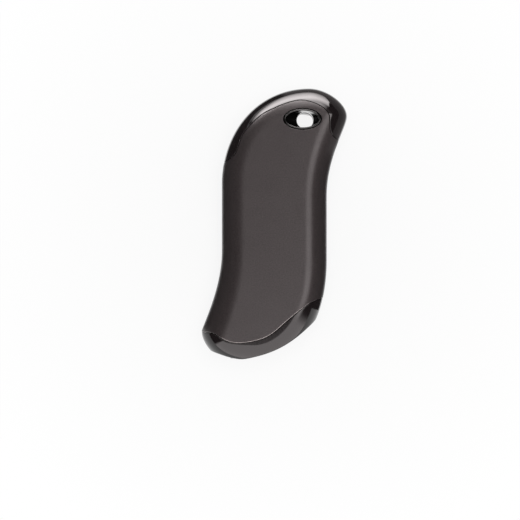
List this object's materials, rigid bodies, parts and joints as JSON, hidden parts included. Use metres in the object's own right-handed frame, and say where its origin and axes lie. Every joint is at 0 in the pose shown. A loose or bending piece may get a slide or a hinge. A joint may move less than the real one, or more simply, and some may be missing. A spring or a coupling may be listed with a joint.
{
  "type": "rechargeable hand warmer",
  "caption": "Palm-sized S-shaped rechargeable hand warmer and power bank with a metal sleeve, gloss end caps, a lanyard eyelet, a push button and charging sockets.",
  "frame": {"origin": "on the surface that the warmer lies on, under the middle of its outline", "axes": "+Z out of the front face, +Y along the body to the end with the lanyard eyelet, +X to the right seen from the front"},
  "size_m": [0.07, 0.13, 0.028],
  "materials": {
    "anodised_sleeve": "fine matte, dark grey",
    "gloss_caps": "polished black",
    "gloss_bezels": "polished black",
    "satin_black_plastic": "satin",
    "chassis_plastic": "moulded, matte",
    "switch_parts": "matte",
    "switch_black": "matte",
    "thin_steel": "plated",
    "clear_pipe": "clear",
    "light_chips": "cast, yellowish",
    "board_laminate": "lacquered green",
    "white_plastic": "matte",
    "black_plastic": "matte",
    "contact_metal": "gilt",
    "inductor_body": "pressed powder",
    "capacitor_body": "ceramic",
    "cell_wrap": "shrink wrapped",
    "insulator_paper": "paper",
    "heater_film": "amber film",
    "spreader_metal": "bare",
    "foam": "closed foam",
    "thermistor_bead": "matte",
    "red_wire": "silicone",
    "black_wire": "silicone"
  },
  "bodies": {
    "base": {"sleeve": "anodised_sleeve", "top_cap": "gloss_caps", "bottom_cap": "gloss_caps", "eyelet_front": "gloss_bezels", "eyelet_back": "gloss_bezels", "lanyard_frame": "chassis_plastic", "port_plate": "satin_black_plastic", "switch_dome": "thin_steel", "switch_cover": "thin_steel", "switch_base": "switch_black", "light_pipe": "clear_pipe", "indicator_leds": "light_chips", "control_board": "board_laminate", "output_socket_shell": "thin_steel", "output_socket_tongue": "white_plastic", "output_socket_contacts": "contact_metal", "input_socket_shell": "thin_steel", "input_socket_tongue": "black_plastic", "power_inductor": "inductor_body", "controller_chip": "black_plastic", "power_chips": "black_plastic", "board_capacitors": "capacitor_body", "heater_connectors": "white_plastic", "board_tray": "chassis_plastic", "board_screws": "thin_steel", "frame_screws": "thin_steel", "chassis_front": "chassis_plastic", "chassis_back": "chassis_plastic", "left_cell": "cell_wrap", "right_cell": "cell_wrap", "cell_insulators": "insulator_paper", "top_nickel_strip": "thin_steel", "bottom_nickel_strip": "thin_steel", "front_heater": "heater_film", "back_heater": "heater_film", "front_spreader": "spreader_metal", "back_spreader": "spreader_metal", "front_pad": "foam", "back_pad": "foam", "heater_thermistors": "thermistor_bead", "battery_lead_red": "red_wire", "battery_lead_black": "black_wire"},
    "button": {"power_button": "satin_black_plastic"},
    "plunger": {"switch_plunger": "switch_parts"}
  },
  "joints": [
    {"name": "power_button_press", "type": "slide", "parent": "base", "child": "button", "axis": [0, 1, 0], "range_m": [0, 0.0004], "stiffness_N_per_m": 800, "springref_m": -0.001},
    {"name": "plunger_press", "type": "slide", "parent": "base", "child": "plunger", "axis": [0, 1, 0], "range_m": [0, 0.0004], "deforming": ["switch_dome"]}
  ],
  "couplings": [
    {"joint": "plunger_press", "follows": "power_button_press", "ratio": 1}
  ]
}
